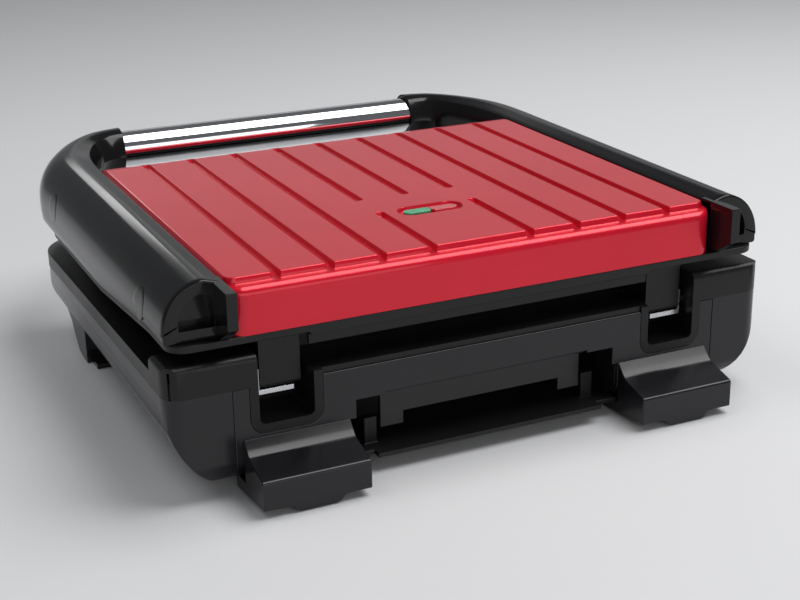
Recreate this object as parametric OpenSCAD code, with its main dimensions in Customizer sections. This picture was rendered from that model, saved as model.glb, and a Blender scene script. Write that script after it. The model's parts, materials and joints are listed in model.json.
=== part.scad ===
// Contact grill with a floating hinged lid.
// Millimetres. Z is up, the handle is at -Y, the hinges and the cord bay are at +Y.
// The origin is on the table, at the middle of the grill's width and depth.

/* [Overall] */
// Width of the base across its sides
base_w = 334; // [300:1:410]
// Depth from the front of the handle to the ends of the rear feet
overall_d = 350; // [330:1:430]
// Wall of the moulded base and lid parts
wall = 2.5; // [2:0.1:3.5]
// Gap between parts that move past each other
run_gap = 0.3; // [0.3:0.05:0.5]
// Gap between parts that are fitted together
fit_gap = 0.15; // [0.1:0.05:0.25]
// Slope of the two grill plates towards the front, in degrees
tilt = 1.2; // [0.8:0.1:1.6]

/* [Base] */
// How far the handle reaches in front of the base
handle_reach = 57; // [50:1:75]
// How far the rear feet stand out behind the rear panel
foot_reach = 25; // [18:1:34]
// Height of the underside of the base
floor_z = 8; // [6:0.5:10]
// Height of the seam between base and rim, at the back
seam_z = 56; // [54:0.5:58]
// Height of the rim above the seam
rim_h = 8; // [7:0.5:9]
// Height of the two humps at the back of the rim
hump_z = 71.9; // [70:0.1:73]
// Depth of the humps
hump_d = 25; // [22:1:30]
// Plan radius of the rear corners
rear_r = 10; // [6:1:16]
// Plan radius of the front corners of the base
front_r = 36; // [25:1:45]

/* [Hinge] */
// Distance of each hinge from the middle of the grill
hinge_x = 108.2; // [100:0.1:112]
// Width of a hinge leg
leg_w = 21; // [18:0.5:23]
// Space beside a hinge leg in its notch
leg_side = 3.4; // [3:0.1:5]
// Height of the bottom of a hinge notch
notch_z = 36.3; // [34:0.1:38]
// Distance of the hinge axis in front of the rear panel
pin_inset = 14.5; // [14:0.1:15]
// Height of the hinge axis with the lid down
pin_z = 54; // [53.5:0.1:54.5]
// Diameter of a hinge pin
pin_d = 5; // [4:0.1:5.4]
// How far the floating hinge lets the lid rise
lift = 12; // [8:0.5:12]

/* [Lid] */
// Height of the ribbed top of the cover
top_z = 108; // [106:0.5:112]
// Height of the lower edge of the cover
cover_z = 81.5; // [80:0.5:83]
// Sheet thickness of the cover
sheet = 1; // [0.8:0.1:1.4]
// Distance between the grooves of the cover
groove_pitch = 27; // [22:0.5:32]
// Width of a groove
groove_w = 4.3; // [3:0.1:6]
// Depth of a groove, and of the step round the ribbed top
groove_depth = 2.2; // [1.5:0.1:2.6]
// Length of the two windows of the indicator together
lens_l = 31; // [26:1:34]
// Width of the indicator windows
lens_w = 7; // [6:0.5:9]
// Length of the sunk place round the windows
lens_well_l = 36; // [35:0.5:40]
// Width of the sunk place round the windows
lens_well_w = 15; // [12:0.5:17]

/* [Handle] */
// Width of an arm
arm_w = 31; // [28:0.5:34]
// Height of the top of the arms
arm_z = 110.5; // [109:0.5:114]
// Plan radius of the arms round the front corners
arm_r = 78; // [70:1:84]
// Diameter of the handle tube
tube_d = 23; // [20:0.5:25]
// Height of the handle tube's centre
tube_z = 96.4; // [95:0.1:97]
// Distance from the middle to the end of the bare tube
tube_half = 100; // [90:1:106]
// Wall of an arm
arm_wall = 3; // [2.5:0.1:3.5]

/* [Plates] */
// Distance from the side of the base to the cooking area
cook_side = 29; // [27:0.5:36]
// Distance between the ribs of the plates
rib_pitch = 18; // [14:0.5:24]
// Height of a rib
rib_h = 5; // [3.5:0.5:5]
// Diameter of the heating elements
heater_d = 6.5; // [6:0.1:7]

/* [Hidden] */
$fn = 64;

// Small overlap that keeps cuts clean
eps = 0.05;
// Longer than any part, for cuts that go right through
far = 700;

// Places that follow from the overall sizes
half_w = base_w / 2;
rear_y = overall_d / 2 - foot_reach;
front_y = handle_reach - overall_d / 2;

// Curve of the lower sides of the base: where it starts, and how far it goes in and down
side_start_z = 50;
side_in = 54;
side_down = 50;
// The same curve at the front
nose_in = 72;
// Radius under the rear edge of the base
heel_r = 12;

// Rim
rim_top = seam_z + rim_h;
rear_rim_top = seam_z + 3;
ledge_z = seam_z + 3;
opening_half = half_w - 18;
opening_front = front_y + 14;
opening_rear = rear_y - 32;
opening_r = 22;
ledge_in = 6;
hump_round = 4;
liner_t = 4.5;
notch_half = leg_w / 2 + leg_side;
notch_depth = pin_inset + 13.5;
notch_r = 3;

// Hinge
pin_y = rear_y - pin_inset;
pin_r = pin_d / 2;
pin_bore = pin_r + 0.05;
slider_w = 5;
slider_d = 14;
slider_h = 8;
slider_x = hinge_x + notch_half + liner_t + run_gap;
pocket_wall = 4;
leg_rear = rear_y - 8.2;
leg_front = rear_y - notch_depth + 1;
leg_bottom = pin_z - pin_r - 1.5;
strap_t = 1;
strap_h = 2.6;
strap_in = 3.5;

// Rear panel
panel_half = half_w - 32;
bay_in = 57.3;
bay_out = 72.8;
bay_top = 38.9;
crease_z = 40.3;
flap_z = 24.5;
flap_in = 7.5;
flap_leg_z = 17.8;
flap_leg_w = 13;

// Feet
foot_in = 76.3;
foot_top_z = 30.3;
foot_out = min(131.2, panel_half - 2);
foot_base_z = 4.2;
foot_heel = 13;
foot_low = 0.4;
pad_r = 7;
pad_t = 2.4;
front_foot_x = half_w - 19;
front_foot_y = front_y + 68;
front_foot_w = 19;
front_pad_x = front_foot_x - 2;
sole_t = 2.8;
spigot_r = 3;

// Cord bay
bay_front_y = rear_y - 42;
lip_half = 64;
lip_reach = 5;
post_w = 7;
post_d = 5;
post_z = 24.5;
gland_x = 30;
gland_z = 24;
gland_r = 6;

// Drip tray
tray_half = 100;
tray_d = 64;
tray_z0 = 13;
tray_z1 = 33;
tray_wall = 2;

// Lid cover
arm_out = half_w - 2;
cover_half = arm_out - arm_w;
cover_rear = rear_y - 1.2;
step_y = cover_rear - 6.8;
rib_half = cover_half - 3;
shelf_z = top_z - groove_depth;
roll_y = front_y + 48;
roll_r = 28;
roll_angle = 60;
edge_r = 4.5;
cover_front = roll_y - 34;
cover_r = 25;
lens_y = step_y - 58;
lens_top_z = top_z - 0.3;
lens_notch = 1.1;
groove_front = roll_y - 8;
groove_gap_front = step_y - 88;
groove_gap_rear = step_y - 64;

// Lid housing
house_half = half_w - 4;
house_front = front_y + 6;
flange_t = 3.7;
flange_in = 24;
deck_half = cover_half + 9;
deck_front = front_y + 12;
deck_t = wall;
skirt_z = 70.5;

// Plates, in the tilted frame of the rim
plate_half = opening_half - 0.5;
plate_front = opening_front + 0.5;
plate_rear = opening_rear - 0.5;
cook_half = half_w - cook_side;
cook_front = plate_front + 11.5;
cook_rear = plate_rear - 9.5;
well_z = ledge_z - 0.5;
plate_bottom = ledge_z - 4;
upper_face = well_z + 2 * rib_h + 1;
upper_back = upper_face + 4;
upper_half = cook_half;
upper_front = cook_front - 6;
upper_rear = cook_rear + 4;
upper_lip = 3;
guard_half = upper_half + 1;
ledge_up_in = 9;
ledge_t = 2.5;
shade_half = min(guard_half - ledge_up_in - 5, cover_half - 9);

// Heaters
heater_r = heater_d / 2;
heater_gap = 0.3;
heater_span = 60;
heater_y = (cook_front + cook_rear) / 2;
heater_end = -95;
heater_turn = 58;
lower_heater_z = plate_bottom - heater_gap - heater_r;
upper_heater_z = upper_back + heater_gap + heater_r;
tray_reach = 14;

// Arms
arm_in = cover_half + run_gap;
arm_crest = arm_in + 9;
arm_curve_z = 86;
arm_end = rear_y - 5;
arm_front = -overall_d / 2;
corner_x = arm_out - arm_r;
corner_y = arm_front + arm_r;
sweep_y = roll_y - 1;
ring_r = tube_d / 2 + 2.5;
tube_y = arm_front + ring_r;
sweep_half_x = arm_in - tube_half;
sweep_half_y = sweep_y - tube_y;
ring_w = 6;
ring_len = 16;
fin_t = 5.2;
fin_reach = 13;
rise_y = arm_end - 30;
level_y = rear_y - 125;
arm_low = cover_z - 8;
plug_r = 8.6;
plug_t = 4;
plug_z = 90.2;
plug_rim = 2.5;
boss_r = 5;
boss_l = 16;
plug_ys = [rear_y - 44, front_y + 46];
lip_w = 8;
lip_depth = 6;

// Fasteners
screw_r = 2;
screw_head_r = 3.5;
screw_head_h = 2;
boss_ys = [rear_y - 50, front_y + 88];
plate_screw_ys = [plate_rear - 27, plate_front + 52];

module tilted() {
  translate([0, rear_y, 0]) rotate([tilt, 0, 0]) translate([0, -rear_y, 0]) children();
}

// Mirror the children to the other side as well
module both_sides() {
  for (s = [0, 1]) mirror([s, 0, 0]) children();
}

// Extrude a y-z outline over a width that is centred on the middle
module along_x(width) {
  translate([-width / 2, 0, 0]) rotate([90, 0, 90]) linear_extrude(width) children();
}

// Extrude an x-z outline from y0 to y1
module along_y(y0, y1) {
  translate([0, y1, 0]) rotate([90, 0, 0]) linear_extrude(y1 - y0) children();
}

// Rounded rectangle in plan, with its own radii at the front and at the rear
module plan(hw, y0, y1, rf, rr) {
  union() {
    translate([-hw, y0 + rf]) square([2 * hw, y1 - y0 - rf - rr]);
    translate([rf - hw, y0]) square([2 * (hw - rf), rf + eps]);
    translate([rr - hw, y1 - rr - eps]) square([2 * (hw - rr), rr + eps]);
    for (s = [-1, 1]) {
      translate([s * (hw - rf), y0 + rf]) circle(rf);
      translate([s * (hw - rr), y1 - rr]) circle(rr);
    }
  }
}

module slab(hw, y0, y1, rf, rr, z0, z1) {
  translate([0, 0, z0]) linear_extrude(z1 - z0) plan(hw, y0, y1, rf, rr);
}

// Box given by its low and high corners
module block(lo, hi) {
  translate(lo) cube(hi - lo);
}

// Rod along X from x0 to x1
module rod_x(x0, x1, y, z, r) {
  translate([x0, y, z]) rotate([0, 90, 0]) cylinder(h = x1 - x0, r = r);
}

// Slot in plan with round ends, centred on the origin
module stadium(length, width) {
  union() {
    square([length - width, width], center = true);
    for (s = [-1, 1]) translate([s * (length - width) / 2, 0]) circle(width / 2);
  }
}

// Outer form of the base below the seam, made smaller on every side by inset
module base_form(inset, z0) {
  turns = [78:-6:0];
  y1 = rear_y - inset;
  right = concat(
    [for (a = turns) [half_w - inset - side_in * (1 - cos(a)), side_start_z - side_down * sin(a)]],
    [[half_w - inset, rim_top]]);
  left = [for (i = [len(right) - 1:-1:0]) [-right[i][0], right[i][1]]];
  nose = [for (a = turns) [front_y + inset + nose_in * (1 - cos(a)), side_start_z - side_down * sin(a)]];
  heel = [for (a = [0:15:90]) [y1 - heel_r * (1 - cos(a)), floor_z + heel_r * (1 - sin(a))]];
  intersection() {
    slab(half_w - inset, front_y + inset, y1, front_r - inset, max(rear_r - inset, 2), z0, rim_top);
    along_y(front_y, rear_y) polygon(concat(right, left));
    along_x(base_w) polygon(concat(
      nose, [[front_y + inset, rim_top], [y1, rim_top]], heel, [[y1 - heel_r, nose[0][1]]]));
  }
}

// Everything above the seam, for cutting the base to its top edge
module above_seam() {
  tilted() block([-far, -far, seam_z], [far, far, seam_z + 100]);
}

// Opening of a hinge notch seen from behind, grown by more on every side
module notch(more) {
  r = notch_r + more;
  lo = notch_z - more;
  hw = notch_half + more;
  translate([hinge_x, 0]) union() {
    translate([-hw, lo + r]) square([2 * hw, 100]);
    translate([r - hw, lo]) square([2 * (hw - r), r + eps]);
    for (s = [-1, 1]) translate([s * (hw - r), lo + r]) circle(r);
  }
}

module notches(more, depth) {
  both_sides() along_y(rear_y - depth, rear_y + 1) notch(more);
}

// Part of the base form that belongs to the rear panel
module panel_zone(more) {
  block([-panel_half - more, rear_y - 14, -1], [panel_half + more, rear_y + 1, rim_top + 1]);
}

// Space for the drip tray behind the nose of the base
module tray_space(more) {
  block([-tray_half - more, front_y - 1, tray_z0 - more],
        [tray_half + more, front_y + tray_d + more, tray_z1 + more]);
}

// Block that a bottom screw goes into
module screw_block(y) {
  block([half_w - 38, y - 5, floor_z + wall], [half_w - 4, y + 5, floor_z + wall + 9]);
}

module base_shell() color([0.24, 0.24, 0.26]) {
  difference() {
    union() {
      difference() {
        base_form(0, floor_z);
        base_form(wall, floor_z - 1);
      }
      intersection() {
        base_form(0.5, floor_z);
        both_sides() for (y = boss_ys) screw_block(y);
      }
    }
    above_seam();
    difference() {
      panel_zone(fit_gap);
      both_sides() for (y = boss_ys) screw_block(y);
    }
    tray_space(run_gap);
    both_sides() {
      for (y = boss_ys) translate([half_w - 33, y, 0]) cylinder(h = floor_z + wall + 7, r = screw_r - 0.3);
      foot_spigot(fit_gap);
    }
  }
}

// Peg on top of a front foot, which goes through the wall of the base
module foot_spigot(more) {
  translate([half_w - 17, front_foot_y - 10, floor_z - 1]) cylinder(h = 13 + more, r = spigot_r + more);
}

// Foot under a front corner: a blade that the side of the base runs down to, and a sole behind it
module front_foot() {
  x1 = front_foot_x + front_foot_w / 2;
  x0 = x1 - front_foot_w;
  y1 = front_foot_y - 1;
  difference() {
    union() {
      translate([x0, 0, 0]) rotate([90, 0, 90]) linear_extrude(front_foot_w)
        polygon([[y1 - 49, floor_z + 16], [y1 - 33, floor_z + 8.5], [y1 - 26, floor_z + 0.5], [y1 - 18, 2],
                 [y1 - 7, foot_low], [y1, foot_low], [y1, floor_z + 16]]);
      block([x0, y1 - eps, foot_low], [x1 - 3, y1 + 12, foot_low + sole_t]);
    }
    translate([front_pad_x, front_foot_y, -1]) cylinder(h = pad_t + 1, r = pad_r + fit_gap);
    base_form(-fit_gap, floor_z - fit_gap);
  }
  foot_spigot(0);
}

module front_foot_left() color([0.24, 0.24, 0.26]) mirror([1, 0, 0]) front_foot();

module front_foot_right() color([0.24, 0.24, 0.26]) front_foot();

module rear_panel() color([0.25, 0.25, 0.27]) {
  difference() {
    intersection() {
      difference() {
        base_form(0, floor_z);
        base_form(wall, floor_z - 1);
      }
      panel_zone(0);
    }
    above_seam();
    notches(liner_t, 20);
    both_sides() {
      block([bay_in, rear_y - 20, 0], [bay_out, rear_y + 1, bay_top]);
      block([bay_in, rear_y - 20, 0], [foot_in, rear_y + 1, foot_top_z - 1]);
    }
    block([-bay_in - eps, rear_y - 20, 0], [bay_in + eps, rear_y + 1, crease_z]);
    both_sides() foot_screw_hole();
  }
  bay_flap();
}

// Middle of the rear panel, which is set back over the cord bay and ends in two legs
module bay_flap() {
  y2 = rear_y - flap_in;
  block([-bay_in, y2 - wall, flap_z], [bay_in, y2, crease_z + 0.9]);
  block([-bay_in, y2 - wall, crease_z - 1.6], [bay_in, rear_y - wall + eps, crease_z + 0.9]);
  both_sides() block([bay_in - flap_leg_w, y2 - wall, flap_leg_z], [bay_in, y2, flap_z + eps]);
}

module foot_screw_hole() {
  for (x = [foot_in + 12, foot_out - 12])
    translate([x, rear_y + 1, 15]) rotate([90, 0, 0]) cylinder(h = 20, r = screw_r);
}

module base_rim() color([0.13, 0.13, 0.14]) {
  difference() {
    union() {
      tilted() rim_ring();
      intersection() {
        rim_humps();
        slab(half_w, front_y, rear_y, front_r, rear_r, 0, hump_z);
      }
      difference() {
        intersection() {
          notches(liner_t, notch_depth + 3);
          block([-half_w, rear_y - notch_depth - 3, 0], [half_w, rear_y, rear_rim_top - 0.5]);
        }
        notches(0, notch_depth);
      }
      both_sides() slider_case();
    }
    notches(0, notch_depth);
    both_sides() slider_pocket();
    both_sides() pin_slot();
    tilted() both_sides() for (y = plate_screw_ys)
      translate([plate_half - 3, y, seam_z - 1]) cylinder(h = 10, r = screw_r + fit_gap);
  }
}

// Level frame that carries the lower plate
module rim_ring() {
  difference() {
    slab(half_w, front_y, rear_y, front_r, rear_r, seam_z, rim_top);
    slab(opening_half, opening_front, opening_rear, opening_r, opening_r, ledge_z, rim_top + 1);
    slab(opening_half - ledge_in, opening_front + ledge_in, opening_rear - ledge_in,
         opening_r - ledge_in, opening_r - ledge_in, seam_z - 1, rim_top + 1);
    block([-hinge_x - notch_half, opening_rear - eps, rear_rim_top],
          [hinge_x + notch_half, rear_y + 1, rim_top + 1]);
  }
}

// Two raised blocks at the rear corners
module rim_humps() {
  y0 = rear_y - hump_d;
  z0 = seam_z;
  r = hump_round;
  both_sides() difference() {
    intersection() {
      block([hinge_x + notch_half, y0, z0], [half_w, rear_y, hump_z]);
      along_x(2 * half_w) union() {
        translate([y0, z0]) square([hump_d, hump_z - z0 - r]);
        translate([y0 + r, z0]) square([hump_d - 2 * r, hump_z - z0]);
        for (y = [y0 + r, rear_y - r]) translate([y, hump_z - r]) circle(r);
      }
      along_y(y0, rear_y) union() {
        translate([0, z0]) square([half_w, hump_z - z0 - r]);
        translate([0, z0]) square([half_w - r, hump_z - z0]);
        translate([half_w - r, hump_z - r]) circle(r);
      }
    }
    block([slider_x + slider_w + pocket_wall, y0 + wall, z0 - 1],
          [half_w - wall, rear_y - wall, hump_z - wall]);
  }
}

module slider_case() {
  block([hinge_x + notch_half, pin_y - slider_d / 2 - run_gap - 2, pin_z - slider_h / 2 - 5],
        [slider_x + slider_w + run_gap + pocket_wall, rear_y - wall - fit_gap, rear_rim_top + 3]);
}

module slider_pocket() {
  block([hinge_x + notch_half + liner_t, pin_y - slider_d / 2 - run_gap, pin_z - slider_h / 2 - run_gap],
        [slider_x + slider_w + run_gap, pin_y + slider_d / 2 + run_gap,
         pin_z + slider_h / 2 + lift + run_gap]);
}

module pin_slot() {
  x0 = hinge_x + notch_half - 1;
  x1 = slider_x + 1;
  r = pin_r + run_gap;
  rod_x(x0, x1, pin_y, pin_z, r);
  rod_x(x0, x1, pin_y, pin_z + lift, r);
  block([x0, pin_y - r, pin_z], [x1, pin_y + r, pin_z + lift]);
}

module bottom_cover() color([0.16, 0.16, 0.17]) {
  top = floor_z + wall;
  difference() {
    union() {
      difference() {
        intersection() {
          base_form(wall + fit_gap, floor_z);
          block([-far, -far, floor_z], [far, far, top]);
        }
        block([-tray_half, -far, 0], [tray_half, front_y + 38, 50]);
      }
      block([-lip_half, rear_y - 20, floor_z], [lip_half, rear_y + lip_reach, top]);
      block([fit_gap - foot_in, rear_y - 20, floor_z], [foot_in - fit_gap, rear_y - fit_gap, top]);
      intersection() {
        base_form(wall + fit_gap, floor_z);
        bay_walls();
      }
      both_sides() block([bay_in + 1.5, rear_y - 13, floor_z],
                         [bay_in + 1.5 + post_w, rear_y - 13 + post_d, post_z]);
      both_sides() block([58, front_y + 38, floor_z], [62, front_y + tray_d, tray_z0 - run_gap]);
    }
    translate([gland_x, bay_front_y - 5, gland_z]) rotate([-90, 0, 0]) cylinder(h = 12, r = gland_r + 0.05);
    both_sides() for (y = boss_ys) translate([half_w - 33, y, 0]) {
      cylinder(h = floor_z + 1.2, r = screw_head_r + fit_gap);
      cylinder(h = 20, r = screw_r + fit_gap);
    }
  }
}

// Walls and roof of the space that stores the cord
module bay_walls() {
  x1 = bay_out + 3.5 + wall;
  roof = crease_z + 1 + wall;
  back = rear_y - wall - fit_gap;
  block([-x1, bay_front_y, floor_z], [x1, bay_front_y + wall, roof]);
  both_sides() block([x1 - wall, bay_front_y, floor_z], [x1, back, roof]);
  block([-x1, bay_front_y, crease_z + 1], [x1, back, roof]);
}

// Foot that also lets the grill stand on its back
module rear_foot() {
  y1 = rear_y + foot_reach;
  w = foot_out - foot_in;
  mid = (foot_out + foot_in) / 2;
  rib_w = 0.36 * w;
  face_top = 18.8;
  difference() {
    union() {
      translate([foot_in, 0, 0]) rotate([90, 0, 90]) linear_extrude(w)
        polygon([[rear_y, foot_top_z], [rear_y + 3.2, 26.8], [rear_y + 5.6, 24.6], [rear_y + 7.6, 23.2],
                 [y1 - 1, face_top + 0.3], [y1, face_top - 0.7], [y1, foot_base_z],
                 [rear_y - foot_heel, foot_low], [rear_y - foot_heel, floor_z - fit_gap],
                 [rear_y, floor_z - fit_gap]]);
      along_y(rear_y, y1) polygon([
        [mid - rib_w / 2 - 6, foot_base_z + 1], [mid - rib_w / 2 - 6, foot_base_z],
        [mid - rib_w / 2 - 3.5, foot_base_z - 0.6], [mid - rib_w / 2 - 1.5, foot_low + 0.8],
        [mid - rib_w / 2 + 1, foot_low], [mid + rib_w / 2 - 1, foot_low],
        [mid + rib_w / 2 + 1.5, foot_low + 0.8], [mid + rib_w / 2 + 3.5, foot_base_z - 0.6],
        [mid + rib_w / 2 + 6, foot_base_z], [mid + rib_w / 2 + 6, foot_base_z + 1]]);
    }
    translate([mid, rear_y + foot_reach / 2, -1]) cylinder(h = pad_t + 1, r = pad_r + fit_gap);
    for (x = [foot_in + 12, foot_out - 12])
      translate([x, rear_y + 10, 15]) rotate([90, 0, 0]) cylinder(h = 20, r = screw_r - 0.3);
    for (x = [[foot_in + wall, mid - pad_r - 2], [mid + pad_r + 2, foot_out - wall]])
      block([x[0], rear_y + 12, 0], [x[1], y1 - wall, 15]);
  }
}

module rear_foot_left() color([0.22, 0.22, 0.24]) mirror([1, 0, 0]) rear_foot();

module rear_foot_right() color([0.22, 0.22, 0.24]) rear_foot();

module foot_pads() color([0.08, 0.08, 0.08]) {
  mid = (foot_out + foot_in) / 2;
  both_sides() {
    translate([mid, rear_y + foot_reach / 2, 0]) cylinder(h = pad_t, r = pad_r);
    translate([front_pad_x, front_foot_y, 0]) cylinder(h = pad_t, r = pad_r);
  }
}

// Ribs from y0 to y1 at rib_pitch, as many as the width holds
module ribs(hw, y0, y1, z0, z1) {
  n = floor((hw - 6) / rib_pitch);
  for (i = [-n:n]) block([i * rib_pitch - 1.6, y0, z0], [i * rib_pitch + 1.6, y1, z1]);
}

module lower_plate() color([0.18, 0.18, 0.18]) {
  tilted() difference() {
    union() {
      difference() {
        union() {
          slab(plate_half, plate_front, plate_rear, 21, 21, ledge_z, ledge_z + 6);
          slab(plate_half - 6.5, plate_front + 6.5, plate_rear - 6.5, 15, 15, plate_bottom, ledge_z + 1);
        }
        slab(plate_half - 4, plate_front + 4, plate_rear - 4, 17, 17, ledge_z + 3, ledge_z + 7);
        slab(cook_half + 2, cook_front - 2, cook_rear + 2, 12, 12, well_z, ledge_z + 7);
      }
      ribs(cook_half, cook_front + 12, cook_rear - 4, well_z - 0.5, well_z + rib_h);
    }
    block([-20, cook_front + 1, plate_bottom - 1], [20, cook_front + 9, well_z + 1]);
    both_sides() for (y = plate_screw_ys)
      translate([plate_half - 3, y, ledge_z - 1]) cylinder(h = 5, r = screw_r - 0.3);
  }
}

// U-shaped heating rod with its two ends at x = heater_end
module heater(z) {
  for (s = [-1, 1]) rod_x(heater_end, heater_turn, heater_y + s * heater_span, z, heater_r);
  translate([heater_turn, heater_y, z]) rotate([0, 0, -90]) rotate_extrude(angle = 180)
    translate([heater_span, 0]) circle(heater_r);
  for (s = [-1, 1]) rod_x(heater_end - 8, heater_end, heater_y + s * heater_span, z, heater_r - 1.5);
}

// Strap round the heating rod that holds it to a plate whose back is at height z
module heater_clamps(z, side) {
  for (x = [-50, 40], s = [-1, 1]) {
    y = heater_y + s * heater_span;
    rod_z = z + side * (heater_gap + heater_r);
    difference() {
      block([x - 5, y - heater_r - 2.3, min(z, z + side * 9)],
            [x + 5, y + heater_r + 2.3, max(z, z + side * 9)]);
      rod_x(x - 6, x + 6, y, rod_z, heater_r + fit_gap);
      block([x - 6, y - heater_r - fit_gap, min(z, rod_z) - eps],
            [x + 6, y + heater_r + fit_gap, max(z, rod_z) + eps]);
    }
  }
}

module lower_heater() color([0.55, 0.53, 0.5]) tilted() heater(lower_heater_z);

module lower_heater_clamps() color("silver") tilted() heater_clamps(plate_bottom, -1);

module upper_heater() color([0.55, 0.53, 0.5]) tilted() heater(upper_heater_z);

module upper_heater_clamps() color("silver") tilted() heater_clamps(upper_back, 1);

// Shallow tray of thin sheet behind a heater; open end at z0, closed end at z1
module reflector(hw, y0, y1, z0, z1) {
  up = z1 > z0;
  difference() {
    slab(hw, y0, y1, 12, 12, min(z0, z1), max(z0, z1));
    slab(hw - sheet, y0 + sheet, y1 - sheet, 11, 11,
         up ? z0 - 1 : z1 + sheet, up ? z1 - sheet : z0 + 1);
  }
}

module lower_reflector() color([0.7, 0.7, 0.72]) tilted()
  reflector(plate_half - 13, cook_front + 10, plate_rear - 12, plate_bottom - 0.2, plate_bottom - tray_reach);

module upper_reflector() color([0.7, 0.7, 0.72]) tilted()
  reflector(shade_half, upper_front + 14, upper_rear - 14, upper_back + 0.2, upper_back + tray_reach);

// Round bimetal thermostat with two tabs; its flat face is at height z
module thermostat(z, side) {
  translate([0, heater_y - 20, 0]) {
    translate([0, 0, min(z, z + side * 8)]) cylinder(h = 8, r = 8);
    for (s = [-1, 1]) block([s * 5 - 2, -1, min(z + side * 7, z + side * 11)],
                            [s * 5 + 2, 1, max(z + side * 7, z + side * 11)]);
  }
}

module lower_thermostat() color([0.82, 0.8, 0.74]) tilted() thermostat(plate_bottom - 0.1, -1);

module upper_thermostat() color([0.82, 0.8, 0.74]) tilted() thermostat(upper_back + 0.1, 1);

module thermal_fuse() color([0.86, 0.86, 0.82]) tilted() {
  z = plate_bottom - 3.3;
  rod_x(-60, -36, heater_y - 20, z, 3);
  rod_x(-70, -26, heater_y - 20, z, 0.8);
}

module terminal_block() color([0.9, 0.89, 0.84]) {
  z0 = floor_z + wall;
  difference() {
    block([gland_x - 17, bay_front_y - 30, z0], [gland_x + 17, bay_front_y - 14, z0 + 13]);
    for (i = [-1, 0, 1]) {
      translate([gland_x + 10.5 * i, bay_front_y - 31, z0 + 5]) rotate([-90, 0, 0]) cylinder(h = 18, r = 2.2);
      translate([gland_x + 10.5 * i, bay_front_y - 22, z0 + 5]) cylinder(h = 9, r = 2.4);
    }
  }
}

// Bush where the cord enters the base, in the front wall of the cord bay
module cord_gland() color([0.07, 0.07, 0.07]) {
  translate([gland_x, bay_front_y, gland_z]) rotate([-90, 0, 0]) difference() {
    union() {
      translate([0, 0, -6]) cylinder(h = 16, r = gland_r);
      translate([0, 0, wall]) cylinder(h = 2, r = gland_r + 3);
      translate([0, 0, -4]) cylinder(h = 4, r = gland_r + 1.5);
    }
    translate([0, 0, -7]) cylinder(h = 18, r = gland_r - 2.4);
  }
}

module bottom_screws() color("silver") {
  both_sides() for (y = boss_ys) translate([half_w - 33, y, 0]) {
    translate([0, 0, floor_z - 0.8]) cylinder(h = 2, r = screw_head_r);
    translate([0, 0, floor_z + 1]) cylinder(h = 7, r = screw_r - 0.35);
  }
}

module lower_plate_screws() color("silver") tilted() {
  both_sides() for (y = plate_screw_ys) translate([plate_half - 3, y, 0]) {
    translate([0, 0, seam_z - screw_head_h]) cylinder(h = screw_head_h, r = screw_r + 0.8);
    translate([0, 0, seam_z - eps]) cylinder(h = 6, r = screw_r - 0.35);
  }
}

module hinge_pin() {
  rod_x(hinge_x - leg_w / 2 - strap_t - 0.6, slider_x + slider_w, pin_y, pin_z, pin_r);
}

module hinge_pin_left() color([0.75, 0.75, 0.77]) mirror([1, 0, 0]) hinge_pin();

module hinge_pin_right() color([0.75, 0.75, 0.77]) hinge_pin();

// Block that carries a hinge pin up and down inside a hump
module hinge_slider() {
  difference() {
    block([slider_x, pin_y - slider_d / 2, pin_z - slider_h / 2],
          [slider_x + slider_w, pin_y + slider_d / 2, pin_z + slider_h / 2]);
    rod_x(slider_x - 1, slider_x + slider_w + 1, pin_y, pin_z, pin_r + 0.02);
  }
}

module hinge_slider_left() color([0.85, 0.83, 0.76]) mirror([1, 0, 0]) hinge_slider();

module hinge_slider_right() color([0.85, 0.83, 0.76]) hinge_slider();

// Side outline of the cover, lowered and drawn in by inset
function cover_line(inset, z0) = let(
    r = roll_r - inset,
    cz = top_z - roll_r,
    py = roll_y - r * sin(roll_angle),
    pz = cz + r * cos(roll_angle),
    er = max(edge_r + groove_depth - inset, 0.8),
    ry = cover_rear + groove_depth - inset,
    tz = top_z - inset)
  concat(
    [[ry, z0]],
    [for (a = [0:15:90]) [ry - er + er * cos(a), tz - er + er * sin(a)]],
    [for (a = [0:10:roll_angle]) [roll_y - r * sin(a), cz + r * cos(a)]],
    [[py - (pz - z0) / tan(roll_angle), z0]]);

// Cover below its ribs, drawn in by inset on every side
module cover_body(inset, z0) {
  intersection() {
    along_x(base_w) polygon(cover_line(groove_depth + inset, z0));
    slab(cover_half - inset, cover_front + inset, cover_rear - inset, cover_r - inset, 9 - inset, z0, top_z);
  }
}

// Grooves to either side of the middle
function groove_count() = floor((rib_half - groove_w) / groove_pitch);

module groove(x, y0, y1) {
  translate([x, (y0 + y1) / 2, cover_z]) linear_extrude(top_z - cover_z + 1)
    rotate(90) stadium(y1 - y0, groove_w);
}

module grooves() {
  n = groove_count();
  for (i = [-n:n]) {
    x = i * groove_pitch;
    if (abs(i) > 1) {
      groove(x, groove_front, rear_y);
    } else {
      groove(x, groove_front, groove_gap_front);
      if (i != 0) groove(x, groove_gap_rear, rear_y);
    }
  }
}

// Opening for the windows, in a sunk place with a rim round it
module lens_hole() {
  translate([0, lens_y, cover_z]) linear_extrude(far) stadium(lens_l, lens_w);
  translate([0, lens_y, shelf_z]) linear_extrude(far) stadium(lens_well_l, lens_well_w);
}

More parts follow.
